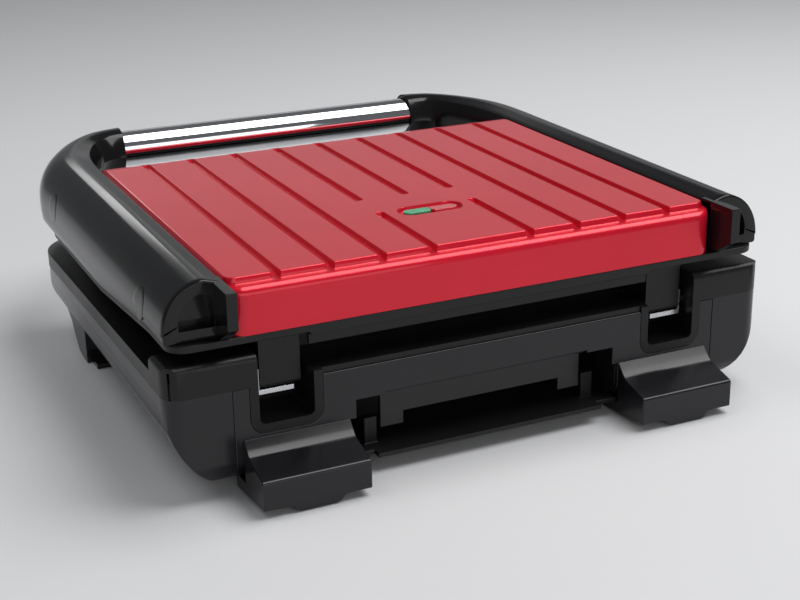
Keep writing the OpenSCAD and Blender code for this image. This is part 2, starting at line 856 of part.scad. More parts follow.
module lid_cover() color([0.62, 0.06, 0.12]) {
  difference() {
    union() {
      cover_body(0, cover_z);
      difference() {
        intersection() {
          along_x(2 * rib_half) polygon(cover_line(0, cover_z + 4));
          slab(rib_half, cover_front + 3, step_y, cover_r - 3, 5, cover_z + 4, top_z);
        }
        grooves();
      }
    }
    cover_body(sheet, cover_z - 1);
    lens_hole();
    both_sides() for (y = plug_ys) rod_x(cover_half - 5, cover_half + 5, y, plug_z, screw_r + fit_gap);
  }
}

// Everything above the lower edge of the arms, as a y-z outline
module above_arm_line() {
  polygon([[rear_y + 30, cover_z], [rise_y, cover_z], [level_y, arm_low], [-far, arm_low],
           [-far, far], [rear_y + 30, far]]);
}

module lid_housing() color([0.12, 0.12, 0.13]) {
  difference() {
    union() {
      side_band();
      difference() {
        slab(deck_half, deck_front, cover_rear, 16, 6, cover_z - deck_t, cover_z);
        slab(guard_half - 8, upper_front + 7, upper_rear - 7, 10, 10, 0, cover_z + 1);
      }
      tilted() guard_frame();
      rear_skirt();
      both_sides() for (y = plug_ys)
        block([cover_half - 8, y - 7, cover_z - deck_t], [cover_half - sheet - 0.5, y + 7, plug_z + 6]);
    }
    tilted() slab(guard_half, upper_front - 1, upper_rear + 1, 13, 13, -far, upper_back);
    tilted() both_sides() for (y = plate_screw_ys)
      translate([upper_half - 4, y, upper_back - 1]) cylinder(h = 20, r = screw_r + fit_gap);
    both_sides() for (y = plug_ys) rod_x(cover_half - 8.5, cover_half, y, plug_z, screw_r - 0.3);
    both_sides() for (x = [-5, 5])
      translate([hinge_x + x, pin_y, cover_z - flange_t - 1]) cylinder(h = 10, r = screw_r + fit_gap);
  }
}

// Band round the housing that the arms stand on, following their lower edge
module side_band() {
  z0 = arm_low - flange_t - 1;
  intersection() {
    difference() {
      slab(house_half, house_front, cover_rear, front_r - 2, rear_r, z0, cover_z + 1);
      slab(house_half - flange_in, house_front + flange_in, cover_rear - flange_in, 12, 6,
           z0 - 1, cover_z + 2);
    }
    along_x(2 * far) polygon([
      [rear_y, cover_z], [rise_y, cover_z], [level_y, arm_low], [front_y, arm_low],
      [front_y, arm_low - flange_t], [level_y, arm_low - flange_t],
      [rise_y, cover_z - flange_t], [rear_y, cover_z - flange_t]]);
  }
}

// Wall round the upper plate, with a ledge behind the plate's edge
module guard_frame() {
  difference() {
    slab(guard_half + wall, upper_front - 1 - wall, upper_rear + 1 + wall, 15, 15,
         upper_face - upper_lip, cover_z);
    slab(guard_half, upper_front - 1, upper_rear + 1, 13, 13, upper_back + ledge_t, cover_z + 1);
    slab(guard_half - ledge_up_in, upper_front - 1 + ledge_up_in, upper_rear + 1 - ledge_up_in, 6, 6,
         0, cover_z + 1);
  }
}

// Two-step edge of the housing between the hinge legs
module rear_skirt() {
  hw = hinge_x - leg_w / 2 - 3;
  mid_z = (skirt_z + cover_z) / 2;
  block([-hw, cover_rear - wall, mid_z], [hw, cover_rear, cover_z]);
  block([-hw, cover_rear - 3 - wall, skirt_z], [hw, cover_rear - 3, cover_z]);
  block([-hw, cover_rear - 3 - wall, mid_z], [hw, cover_rear, mid_z + wall]);
}

// Section of an arm: x is the real place across the grill, inset draws the outside in
function arm_section(inset, x_in, z_low) = let(
    a = arm_out - arm_crest - inset,
    b = arm_z - arm_curve_z - inset,
    drop = (arm_crest - x_in) * (arm_z - top_z) / (arm_crest - arm_in))
  concat(
    [[x_in, z_low], [x_in, arm_z - drop - inset]],
    [for (t = [90:-7.5:0]) [arm_crest + a * cos(t), arm_curve_z + b * sin(t)]],
    [[arm_out - inset, z_low]]);

// Straight side and front corner of an arm
module arm_run(inset, x_in, y0, y1) {
  along_y(y0, y1) polygon(arm_section(inset, x_in, arm_low - 8));
}

module arm_corner() {
  translate([corner_x, corner_y, 0]) rotate([0, 0, -90]) rotate_extrude(angle = 90)
    polygon([for (p = arm_section(0, arm_in - 4, arm_low - 8)) [p[0] - corner_x, p[1]]]);
}

// Space inside the arms: straight beside the cover, then an elliptical sweep to the tube
module arm_inside() {
  block([0, sweep_y, 0], [arm_in, far, far]);
  translate([tube_half, sweep_y, 0]) linear_extrude(far)
    polygon([for (t = [0:6:90]) [sweep_half_x * cos(t), -sweep_half_y * sin(t)], [0, 1], [sweep_half_x, 1]]);
  block([0, -far, 0], [tube_half + ring_w - eps, sweep_y + 1, far]);
}

module arm() {
  difference() {
    union() {
      difference() {
        union() {
          arm_run(0, arm_in - 4, corner_y, arm_end);
          arm_corner();
        }
        arm_inside();
        arm_under();
      }
      arm_ring();
      fin();
    }
    difference() {
      arm_run(arm_wall, arm_in + arm_wall, corner_y + 4, arm_end - lip_depth);
      for (y = plug_ys) {
        rod_x(arm_in, arm_in + boss_l, y, plug_z, boss_r);
        rod_x(arm_out - plug_t - 3, arm_out, y, plug_z, plug_r + plug_rim);
      }
    }
    arm_run(lip_w, arm_in + fin_t, arm_end - lip_depth - eps, arm_end + 1);
    block([0, deck_front - fit_gap, 0], [deck_half + fit_gap, arm_end + 1, cover_z]);
    rod_x(tube_half - 1, tube_half + ring_w - 0.7, tube_y, tube_z, tube_d / 2 + 0.1);
    for (y = plug_ys) {
      rod_x(arm_out - plug_t - 0.2, arm_out + 1, y, plug_z, plug_r);
      rod_x(arm_in + boss_l, arm_out, y, plug_z, screw_head_r + 0.7);
      rod_x(arm_in - 1, arm_out, y, plug_z, screw_r);
    }
  }
}

// Round end of an arm that holds the tube, whole at its mouth and kept inside the arm behind it
module arm_ring() {
  intersection() {
    rod_x(tube_half, tube_half + ring_len, tube_y, tube_z, ring_r);
    union() {
      translate([corner_x, corner_y, 0]) cylinder(h = far, r = arm_r - 0.2);
      block([0, -far, 0], [tube_half + ring_w, 0, far]);
    }
  }
}

// Cuts below the arm: the side line, and a rise to the ring at the front
module arm_under() {
  difference() {
    block([0, -far, 0], [far, far, 150]);
    along_x(2 * far) above_arm_line();
  }
  along_y(-far, corner_y) polygon([
    [0, 0], [0, tube_z - ring_r], [tube_half, tube_z - ring_r], [arm_in, arm_low], [arm_in, 0]]);
}

// Upright end of the inner wall, which the open lid leans on
module fin() {
  y0 = arm_end - 8;
  translate([arm_in, 0, 0]) rotate([90, 0, 90]) linear_extrude(fin_t)
    polygon([[y0, cover_z + 1], [rear_y + 1, cover_z + 1.5], [rear_y + fin_reach, cover_z + 9],
             [rear_y + fin_reach, top_z + 0.6], [y0, top_z + 0.4]]);
}

module arm_left() color([0.05, 0.05, 0.06]) mirror([1, 0, 0]) arm();

module arm_right() color([0.05, 0.05, 0.06]) arm();

module handle_tube() color([0.85, 0.86, 0.88]) {
  l = tube_half + ring_w - 1;
  difference() {
    rod_x(-l, l, tube_y, tube_z, tube_d / 2);
    rod_x(-l - 1, l + 1, tube_y, tube_z, tube_d / 2 - 1.2);
  }
}

module arm_plugs() color([0.06, 0.06, 0.07]) {
  both_sides() for (y = plug_ys) intersection() {
    rod_x(arm_out - plug_t, arm_out, y, plug_z, plug_r - fit_gap);
    arm_run(0.2, arm_in, y - plug_r, y + plug_r);
  }
}

module arm_screws() color("silver") {
  both_sides() for (y = plug_ys) {
    rod_x(cover_half - 7, arm_in + boss_l + eps, y, plug_z, screw_r - 0.35);
    rod_x(arm_in + boss_l, arm_in + boss_l + screw_head_h, y, plug_z, screw_head_r);
  }
}

// Leg of the lid that stands in a notch of the base and turns on the pin
module hinge_leg() {
  x0 = hinge_x - leg_w / 2;
  difference() {
    union() {
      block([x0, leg_front, leg_bottom + 3], [x0 + leg_w, leg_rear, cover_z - flange_t]);
      block([x0, leg_front + 3, leg_bottom], [x0 + leg_w, leg_rear - 3, leg_bottom + 3 + eps]);
      for (y = [leg_front + 3, leg_rear - 3]) rod_x(x0, x0 + leg_w, y, leg_bottom + 3, 3);
    }
    rod_x(x0 - 1, x0 + leg_w + 1, pin_y, pin_z, pin_bore);
    for (x = [-5, 5])
      translate([hinge_x + x, pin_y, cover_z - flange_t - 12]) cylinder(h = 13, r = screw_r - 0.3);
  }
}

module hinge_leg_left() color([0.13, 0.13, 0.14]) mirror([1, 0, 0]) hinge_leg();

module hinge_leg_right() color([0.13, 0.13, 0.14]) hinge_leg();

// Steel bar under a hinge leg, turned up on the outer side round the pin
module hinge_strap() {
  x0 = hinge_x - leg_w / 2 + strap_in;
  x1 = hinge_x + leg_w / 2;
  difference() {
    union() {
      block([x0, leg_front + 4, leg_bottom - strap_h], [x1 + strap_t, leg_rear - 0.4, leg_bottom]);
      block([x1, leg_front + 4, leg_bottom - strap_h], [x1 + strap_t, leg_rear - 0.4, pin_z + 7]);
    }
    rod_x(x1 - 1, x1 + 5, pin_y, pin_z, pin_bore);
  }
}

module hinge_strap_left() color([0.78, 0.79, 0.8]) mirror([1, 0, 0]) hinge_strap();

module hinge_strap_right() color([0.78, 0.79, 0.8]) hinge_strap();

module leg_screws() color("silver") {
  both_sides() for (x = [-5, 5]) translate([hinge_x + x, pin_y, cover_z]) {
    cylinder(h = screw_head_h, r = screw_head_r);
    translate([0, 0, -flange_t - 10]) cylinder(h = flange_t + 10 + eps, r = screw_r - 0.35);
  }
}

module upper_plate() color([0.18, 0.18, 0.18]) {
  tilted() difference() {
    union() {
      slab(upper_half, upper_front, upper_rear, 12, 12, upper_face - upper_lip, upper_back);
      ribs(upper_half - 8, upper_front + 16, upper_rear - 16, upper_face - rib_h, upper_face + 1);
    }
    difference() {
      slab(upper_half - 4, upper_front + 4, upper_rear - 4, 9, 9, upper_face - 4, upper_face);
      ribs(upper_half - 8, upper_front + 16, upper_rear - 16, upper_face - rib_h, upper_face + 1);
    }
    both_sides() for (y = plate_screw_ys)
      translate([upper_half - 4, y, upper_back - 3.2]) cylinder(h = 5, r = screw_r - 0.3);
  }
}

module upper_plate_screws() color("silver") tilted() {
  both_sides() for (y = plate_screw_ys) translate([upper_half - 4, y, upper_back]) {
    translate([0, 0, 2.5]) cylinder(h = screw_head_h, r = screw_r + 0.8);
    translate([0, 0, -3]) cylinder(h = 5.5 + eps, r = screw_r - 0.35);
  }
}

// Carrier of the two lamps, hung under the cover
module lamp_holder() color([0.88, 0.88, 0.86]) {
  z1 = shelf_z - sheet;
  hw = lens_l / 2 + 7;
  hd = lens_w / 2 + 3;
  difference() {
    block([-hw, lens_y - hd, z1 - 14], [hw, lens_y + hd, z1]);
    block([-lens_l / 2 - 1, lens_y - lens_w / 2 - 1, z1 - 12], [-1, lens_y + lens_w / 2 + 1, z1 + 1]);
    block([1, lens_y - lens_w / 2 - 1, z1 - 12], [lens_l / 2 + 1, lens_y + lens_w / 2 + 1, z1 + 1]);
    block([-1.5, lens_y - lens_w / 2 - 1, z1 - 3], [1.5, lens_y + lens_w / 2 + 1, z1 + 1]);
    for (x = [-9, 9]) translate([x, lens_y, z1 - 15]) cylinder(h = 5, r = 2.1);
  }
}

module indicator_lamps() color([1, 0.75, 0.55]) {
  z1 = shelf_z - sheet;
  for (x = [-9, 9]) translate([x, lens_y, z1 - 16]) {
    cylinder(h = 10, r = 2);
    translate([0, 0, 10]) sphere(2);
  }
}

// Half of the indicator window, with a lip under the cover
module lens_half() {
  z1 = shelf_z - sheet;
  intersection() {
    union() {
      translate([0, lens_y, z1 - 1.8]) linear_extrude(1.8) stadium(lens_l + 1.6, lens_w + 1.6);
      translate([0, lens_y, z1 - eps]) linear_extrude(lens_top_z - z1 + eps)
        stadium(lens_l - 2 * fit_gap, lens_w - 2 * fit_gap);
    }
    difference() {
      block([0.05, lens_y - 20, 0], [40, lens_y + 20, 200]);
      block([-1, lens_y + lens_w / 2 - 2 * lens_notch, shelf_z], [lens_notch, lens_y + 20, 200]);
    }
  }
}

module green_lens() color([0.1, 0.7, 0.35]) lens_half();

module red_lens() color([0.85, 0.15, 0.15]) mirror([1, 0, 0]) lens_half();

// Tray that catches the fat; its front follows the nose of the base
module drip_tray() color([0.17, 0.17, 0.18]) {
  intersection() {
    base_form(0, 1);
    difference() {
      block([-tray_half, front_y, tray_z0], [tray_half, front_y + tray_d - run_gap, tray_z1]);
      block([tray_wall - tray_half, front_y + 26, tray_z0 + tray_wall],
            [tray_half - tray_wall, front_y + tray_d - run_gap - tray_wall, tray_z1 + 1]);
      along_y(front_y, front_y + 22) translate([0, tray_z0 - 2]) circle(r = 9);
    }
  }
}

base_shell();
base_rim();
rear_panel();
bottom_cover();
rear_foot_left();
rear_foot_right();
front_foot_left();
front_foot_right();
foot_pads();
lower_plate();
lower_heater();
lower_heater_clamps();
lower_reflector();
lower_thermostat();
thermal_fuse();
terminal_block();
cord_gland();
bottom_screws();
lower_plate_screws();
hinge_pin_left();
hinge_pin_right();
hinge_slider_left();
hinge_slider_right();
lid_cover();
lid_housing();
arm_left();
arm_right();
handle_tube();
arm_plugs();
arm_screws();
hinge_leg_left();
hinge_leg_right();
hinge_strap_left();
hinge_strap_right();
leg_screws();
upper_plate();
upper_plate_screws();
upper_heater();
upper_heater_clamps();
upper_reflector();
upper_thermostat();
lamp_holder();
indicator_lamps();
green_lens();
red_lens();
drip_tray();
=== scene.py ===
import json
import math

import bmesh
import bpy
from mathutils import Matrix, Vector


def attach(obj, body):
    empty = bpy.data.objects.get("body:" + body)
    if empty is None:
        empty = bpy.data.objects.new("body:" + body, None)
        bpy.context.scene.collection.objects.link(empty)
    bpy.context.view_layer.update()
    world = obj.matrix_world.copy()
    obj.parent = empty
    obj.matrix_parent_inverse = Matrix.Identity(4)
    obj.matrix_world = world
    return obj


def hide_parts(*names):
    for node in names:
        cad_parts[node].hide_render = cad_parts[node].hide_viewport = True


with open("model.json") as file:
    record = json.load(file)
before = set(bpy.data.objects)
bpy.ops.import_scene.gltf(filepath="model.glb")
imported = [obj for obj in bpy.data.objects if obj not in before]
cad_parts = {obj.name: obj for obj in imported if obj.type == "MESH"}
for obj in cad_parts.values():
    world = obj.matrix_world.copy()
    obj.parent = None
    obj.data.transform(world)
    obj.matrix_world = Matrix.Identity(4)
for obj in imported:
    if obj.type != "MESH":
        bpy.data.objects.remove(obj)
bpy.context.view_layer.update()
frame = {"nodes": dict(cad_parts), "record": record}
nodes = frame["nodes"]
MM = 0.001

# Materials
SMOOTHEST = 0.02


def new_material(name):
    """New material with its node tree and its shader."""
    mat = bpy.data.materials.new(name)
    mat.use_nodes = True
    tree = mat.node_tree
    shader = tree.nodes["Principled BSDF"]
    return mat, tree, shader


def coordinates(tree, stretch=(1, 1, 1)):
    """The object's own coordinates; a small factor draws the pattern out along that axis."""
    coord = tree.nodes.new("ShaderNodeTexCoord")
    mapping = tree.nodes.new("ShaderNodeMapping")
    mapping.inputs["Scale"].default_value = stretch
    tree.links.new(coord.outputs["Object"], mapping.inputs["Vector"])
    return mapping.outputs["Vector"]


def noise(tree, vector, scale, detail):
    node = tree.nodes.new("ShaderNodeTexNoise")
    node.inputs["Scale"].default_value = scale
    node.inputs["Detail"].default_value = detail
    tree.links.new(vector, node.inputs["Vector"])
    return node.outputs["Fac"]


def spread(tree, value, low, high, from_low=0.3, from_high=0.7):
    """Value of a node, moved from one range to another."""
    node = tree.nodes.new("ShaderNodeMapRange")
    node.inputs["From Min"].default_value = from_low
    node.inputs["From Max"].default_value = from_high
    node.inputs["To Min"].default_value = low
    node.inputs["To Max"].default_value = high
    tree.links.new(value, node.inputs["Value"])
    return node.outputs["Result"]


def blend_colors(tree, fac, a, b):
    node = tree.nodes.new("ShaderNodeMix")
    node.data_type = "RGBA"
    node.inputs["A"].default_value = (*a, 1)
    node.inputs["B"].default_value = (*b, 1)
    tree.links.new(fac, node.inputs["Factor"])
    return node.outputs["Result"]


def cloudy_color(tree, shader, cloud, a, b):
    """Base colour that drifts between two tones."""
    color = blend_colors(tree, spread(tree, cloud, 0, 1), a, b)
    tree.links.new(color, shader.inputs["Base Color"])


def varied_roughness(tree, shader, pattern, rough, vary):
    result = spread(tree, pattern, max(rough - vary, SMOOTHEST), rough + vary)
    tree.links.new(result, shader.inputs["Roughness"])


def add_bump(tree, shader, height, strength, depth_mm):
    node = tree.nodes.new("ShaderNodeBump")
    node.inputs["Strength"].default_value = strength
    node.inputs["Distance"].default_value = depth_mm * MM
    tree.links.new(height, node.inputs["Height"])
    tree.links.new(node.outputs["Normal"], shader.inputs["Normal"])


def moulded(name, color, rough, spec, grain, grain_mm, vary, tint):
    """Moulded plastic: roughness and colour that vary a little, and a fine grain."""
    mat, tree, shader = new_material(name)
    vector = coordinates(tree)
    cloud = noise(tree, vector, scale=14, detail=4)
    fine = noise(tree, vector, scale=grain, detail=2)
    darker = tuple(c * (1 - tint) for c in color)
    lighter = tuple(c * (1 + tint) for c in color)
    cloudy_color(tree, shader, cloud, darker, lighter)
    varied_roughness(tree, shader, cloud, rough, vary)
    shader.inputs["Specular IOR Level"].default_value = spec
    add_bump(tree, shader, fine, 0.6, grain_mm)
    return mat


def metal(name, color, rough, grain, stretch=(1, 1, 1), vary=0.08, depth_mm=0.004):
    """Bare metal with a drawn or rolled grain along the stretched axis."""
    mat, tree, shader = new_material(name)
    vector = coordinates(tree, stretch)
    cloud = noise(tree, vector, scale=20, detail=3)
    fine = noise(tree, vector, scale=grain, detail=3)
    darker = tuple(c * 0.9 for c in color)
    cloudy_color(tree, shader, cloud, darker, color)
    varied_roughness(tree, shader, fine, rough, vary)
    shader.inputs["Metallic"].default_value = 1
    add_bump(tree, shader, fine, 0.5, depth_mm)
    return mat


def red_paint():
    """Metallic paint under a clear coat, with fine flakes."""
    mat, tree, shader = new_material("red_metal")
    vector = coordinates(tree)
    cloud = noise(tree, vector, scale=9, detail=3)
    flakes = tree.nodes.new("ShaderNodeTexVoronoi")
    flakes.inputs["Scale"].default_value = 2600
    tree.links.new(vector, flakes.inputs["Vector"])
    cloudy_color(tree, shader, cloud, (0.62, 0.006, 0.023), (0.69, 0.009, 0.03))
    sparkle = spread(tree, flakes.outputs["Distance"], 0.3, 0.42, from_low=0, from_high=1)
    tree.links.new(sparkle, shader.inputs["Roughness"])
    shader.inputs["Metallic"].default_value = 0.35
    shader.inputs["Specular IOR Level"].default_value = 0.1
    shader.inputs["Coat Weight"].default_value = 0.62
    shader.inputs["Coat Roughness"].default_value = 0.08
    shader.inputs["Coat IOR"].default_value = 1.5
    add_bump(tree, shader, noise(tree, vector, scale=350, detail=2), 0.25, 0.02)
    return mat


def lens_material(name, color, deep):
    """Clear-tinted window of the indicator."""
    mat, tree, shader = new_material(name)
    vector = coordinates(tree)
    cloud = noise(tree, vector, scale=240, detail=2)
    cloudy_color(tree, shader, cloud, deep, color)
    tree.links.new(spread(tree, cloud, 0.1, 0.2), shader.inputs["Roughness"])
    shader.inputs["Transmission Weight"].default_value = 0.25
    shader.inputs["Coat Weight"].default_value = 0.6
    add_bump(tree, shader, cloud, 0.3, 0.02)
    return mat


MATS = {
    "red_metal": red_paint(),
    "gloss_black": moulded("gloss_black", (0.006, 0.006, 0.0065), rough=0.13, spec=0.34,
                           grain=500, grain_mm=0.003, vary=0.02, tint=0.2),
    "base_black": moulded("base_black", (0.009, 0.009, 0.011), rough=0.2, spec=0.42,
                          grain=700, grain_mm=0.005, vary=0.04, tint=0.15),
    "satin_black": moulded("satin_black", (0.008, 0.008, 0.0085), rough=0.42, spec=0.33,
                           grain=1400, grain_mm=0.06, vary=0.05, tint=0.2),
    "grained": moulded("grained", (0.007, 0.007, 0.0075), rough=0.36, spec=0.3,
                       grain=900, grain_mm=0.22, vary=0.06, tint=0.25),
    "chrome": metal("chrome", (0.83, 0.84, 0.86), rough=0.04, grain=600,
                    stretch=(0.05, 1, 1), vary=0.02, depth_mm=0.001),
    "coated_plate": moulded("coated_plate", (0.03, 0.03, 0.031), rough=0.42, spec=0.45,
                            grain=1500, grain_mm=0.04, vary=0.08, tint=0.3),
    "sheet_aluminium": metal("sheet_aluminium", (0.72, 0.73, 0.75), rough=0.32, grain=700,
                             stretch=(0.04, 1, 1)),
    "steel": metal("steel", (0.62, 0.63, 0.65), rough=0.28, grain=900, stretch=(1, 0.06, 1)),
    "heater_sheath": metal("heater_sheath", (0.24, 0.215, 0.19), rough=0.5, grain=500,
                           vary=0.12, depth_mm=0.02),
    "light_plastic": moulded("light_plastic", (0.72, 0.69, 0.62), rough=0.45, spec=0.45,
                             grain=900, grain_mm=0.02, vary=0.05, tint=0.05),
    "rubber": moulded("rubber", (0.014, 0.014, 0.014), rough=0.7, spec=0.35,
                      grain=1300, grain_mm=0.08, vary=0.08, tint=0.25),
    "lamp_glass": lens_material("lamp_glass", (0.95, 0.74, 0.55), (0.85, 0.6, 0.4)),
    "green_lens": lens_material("green_lens", (0.03, 0.55, 0.25), (0.01, 0.42, 0.17)),
    "red_lens": lens_material("red_lens", (0.85, 0.07, 0.09), (0.7, 0.02, 0.04)),
}
SLOTS = {p["node"]: p["material_slot"] for p in frame["record"]["subparts"]}

# Helpers for the pieces made in code. Points are in millimetres, and names that end in _M are metres
WELD_M = 0.00001
SLIVER_M = 0.000005
LEAST_STEP = 0.12


def piece(name, verts, faces, body, slot, replaced, smooth_deg):
    """Mesh piece from millimetre points, riding on a CAD body."""
    mesh = bpy.data.meshes.new(name)
    mesh.from_pydata([tuple(c * MM for c in v) for v in verts], [], faces)
    bm = bmesh.new()
    bm.from_mesh(mesh)
    bmesh.ops.remove_doubles(bm, verts=bm.verts, dist=WELD_M)
    bmesh.ops.dissolve_degenerate(bm, edges=bm.edges, dist=SLIVER_M)
    bmesh.ops.recalc_face_normals(bm, faces=bm.faces)
    bm.to_mesh(mesh)
    bm.free()
    obj = bpy.data.objects.new(name, mesh)
    bpy.context.scene.collection.objects.link(obj)
    mesh.materials.append(MATS[slot])
    mesh.shade_smooth()
    mesh.set_sharp_from_angle(angle=math.radians(smooth_deg))
    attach(obj, body)
    if replaced:
        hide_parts(*replaced)
    return obj


def round_edges(obj, width):
    """Small rounding on the sharp edges of a made piece."""
    bevel = obj.modifiers.new("edges", "BEVEL")
    bevel.width = width * MM
    bevel.segments = 3
    bevel.harden_normals = True


def grid_faces(rows, cols, closed=False, start=0):
    """Faces between rows of points; closed joins each row's end to its start."""
    faces = []
    for r in range(rows - 1):
        for c in range(cols if closed else cols - 1):
            a = start + r * cols + c
            b = start + r * cols + (c + 1) % cols
            faces.append((a, b, b + cols, a + cols))
    return faces


def prism_faces(n):
    """Faces of a prism whose two ends of n points follow each other."""
    faces = [tuple(range(n)), tuple(range(n, 2 * n))]
    faces += [(k, (k + 1) % n, n + (k + 1) % n, n + k) for k in range(n)]
    return faces


def lerp(a, b, t):
    return a + (b - a) * t


def smooth(t):
    """Eased step from 0 to 1."""
    t = min(max(t, 0), 1)
    return t * t * (3 - 2 * t)


def spaced(*spans):
    """Sorted places from (start, end, step) spans, without near-doubles."""
    out = []
    for a, b, step in spans:
        n = max(int(round(abs(b - a) / step)), 1)
        out += [lerp(a, b, i / n) for i in range(n + 1)]
    out.sort()
    kept = [out[0]]
    for v in out[1:]:
        if v - kept[-1] > LEAST_STEP:
            kept.append(v)
    return kept


# Cover of the lid: a pressed sheet with rounded grooves

# Outline: straight sides, a small plan corner at the rear and a large one at the front
COVER_HALF = 134.0
COVER_REAR = 148.8
COVER_Z = 81.5
TOP_Z = 108.0
REAR_CORNER = 9.0
FRONT_CORNER = 25.0
CORNER_Y = COVER_REAR - REAR_CORNER
FRONT_Y = -79.0
# Rounding from the top into the side walls and into the rear wall
SIDE_ROUND = 0.9
REAR_ROUND = 4.5
FLAT_HALF = COVER_HALF - SIDE_ROUND
# Roll of the top down to the front
ROLL_Y = -70.0
ROLL_R = 28.0
ROLL_ANGLE = math.radians(60)
ROLL_STEPS = 16
# Raised field between the grooves and its step at the rear
RIB_HALF = 132.4
STEP_Y = 142.0
REAR_FIELD_R = 5.0
FRONT_FIELD_R = 22.0
DEPTH = 2.2
REAR_DEPTH = 3.3
DEEPER_Y = 134.0
DEEPER_RUN = 6.0
WALL_RUN = 0.9
# Grooves, of which the middle three leave room for the indicator
GROOVE_W = 4.3
PITCH = 27.0
GROOVES = 4
GROOVE_END = -76.0
GROOVE_OPEN = 160.0
SHORT_END = 54.0
STUB_START = 78.0
# Recess of the indicator
LENS_Y = 84.0
RECESS_HALF = 10.5
RECESS_R = 7.5
# Inset of the lip that turns in under the walls
LIP = 1.2


def capsule(x, y, x0, y0, x1, y1, r):
    """Distance from a point to a slot with round ends."""
    dx, dy = x1 - x0, y1 - y0
    t = ((x - x0) * dx + (y - y0) * dy) / (dx * dx + dy * dy)
    t = min(max(t, 0), 1)
    return math.hypot(x - x0 - t * dx, y - y0 - t * dy) - r


def plateau(x, y):
    """Distance from the ribbed field's outline, negative inside."""
    ax = abs(x)
    if y > 0:
        r = REAR_FIELD_R
        qx, qy = ax - (RIB_HALF - r), y - (STEP_Y - r)
        return math.hypot(max(qx, 0), max(qy, 0)) + min(max(qx, qy), 0) - r
    r = FRONT_FIELD_R
    qx, qy = ax - (RIB_HALF - r), FRONT_Y - y
    if qy > 0 and qx > 0:
        return math.hypot(qx, qy) - r
    return ax - RIB_HALF


def cover_depth(x, y):
    """How far the sheet is pressed down at a place of the cover."""
    low = -plateau(x, y)
    i = round(x / PITCH)
    if abs(i) <= GROOVES:
        gx = i * PITCH
        r = GROOVE_W / 2
        if abs(i) > 1:
            low = min(low, capsule(x, y, gx, GROOVE_END + r, gx, GROOVE_OPEN, r))
        else:
            low = min(low, capsule(x, y, gx, GROOVE_END + r, gx, SHORT_END - r, r))
            if i != 0:
                low = min(low, capsule(x, y, gx, STUB_START + r, gx, GROOVE_OPEN, r))
    low = min(low, capsule(x, y, -RECESS_HALF, LENS_Y, RECESS_HALF, LENS_Y, RECESS_R))
    depth = lerp(DEPTH, REAR_DEPTH, smooth((y - DEEPER_Y) / DEEPER_RUN))
    return depth * (1 - smooth(low / WALL_RUN + 0.5))


def flat_half_width(y):
    """Half width of the flat part of the cover at y."""
    if y > CORNER_Y:
        s = (y - CORNER_Y) / REAR_ROUND
        return COVER_HALF - REAR_CORNER + (REAR_CORNER - SIDE_ROUND) * math.sqrt(max(1 - s * s, 0))
    if y < FRONT_Y:
        r = FRONT_CORNER - SIDE_ROUND
        return COVER_HALF - FRONT_CORNER + math.sqrt(max(r * r - (y - FRONT_Y) ** 2, 0))
    return FLAT_HALF


def cover_columns():
    """Places across the cover, close together at groove walls, indicator and side edges."""
    spans = [(-FLAT_HALF, FLAT_HALF, 4.5)]
    for i in range(-GROOVES, GROOVES + 1):
        for s in (-1, 1):
            wall = i * PITCH + s * GROOVE_W / 2
            spans.append((wall - 0.7, wall + 0.7, 0.2))
    for s in (-1, 1):
        spans.append((s * 9.0, s * 19.5, 0.45))
        spans.append((s * 124.0, s * FLAT_HALF, 0.5))
    return spaced(*spans)


def cover_rows():
    """Places along the cover from front to rear, as (y, z, normal's y, normal's z)."""
    roll = []
    for i in range(ROLL_STEPS, 0, -1):
        a = ROLL_ANGLE * i / ROLL_STEPS
        y, z = ROLL_Y - ROLL_R * math.sin(a), TOP_Z - ROLL_R * (1 - math.cos(a))
        roll.append((y, z, -math.sin(a), math.cos(a)))
    py, pz, ny, nz = roll[0]
    drop = [(py - (pz - z) / math.tan(ROLL_ANGLE), z, ny, nz) for z in spaced((COVER_Z, pz - 1.0, 1.2))]
    # The flat top, close together at the ends of the short grooves, the indicator and the rear step
    flat = spaced((ROLL_Y, CORNER_Y, 3.2), (49.5, 56, 0.3), (74.0, 86.0, 0.35), (86, 94, 0.4),
                  (135.5, CORNER_Y, 0.35))
    corner_steps = 14
    rear = [CORNER_Y + REAR_ROUND * math.sin(math.radians(90) * k / corner_steps)
            for k in range(1, corner_steps + 1)]
    return drop + roll + [(y, TOP_Z, 0, 1) for y in flat + rear]


def wall_below(vert, y, side):
    """Plan point of the wall outside a border point, and the radius of the edge between them."""
    vx, vy, _ = vert
    if side == 0:
        return (vx, COVER_REAR), REAR_ROUND
    if y > CORNER_Y:
        s = min((y - CORNER_Y) / REAR_ROUND, 1)
        c = math.sqrt(1 - s * s)
        place = (side * (COVER_HALF - REAR_CORNER + REAR_CORNER * c), CORNER_Y + REAR_CORNER * s)
        return place, lerp(SIDE_ROUND, REAR_ROUND, s)
    if y < FRONT_Y:
        s = (y - FRONT_Y) / (FRONT_CORNER - SIDE_ROUND)
        c = math.sqrt(max(1 - s * s, 0))
        return (side * (COVER_HALF - FRONT_CORNER + FRONT_CORNER * c), vy + SIDE_ROUND * s), SIDE_ROUND
    return (side * COVER_HALF, vy), SIDE_ROUND


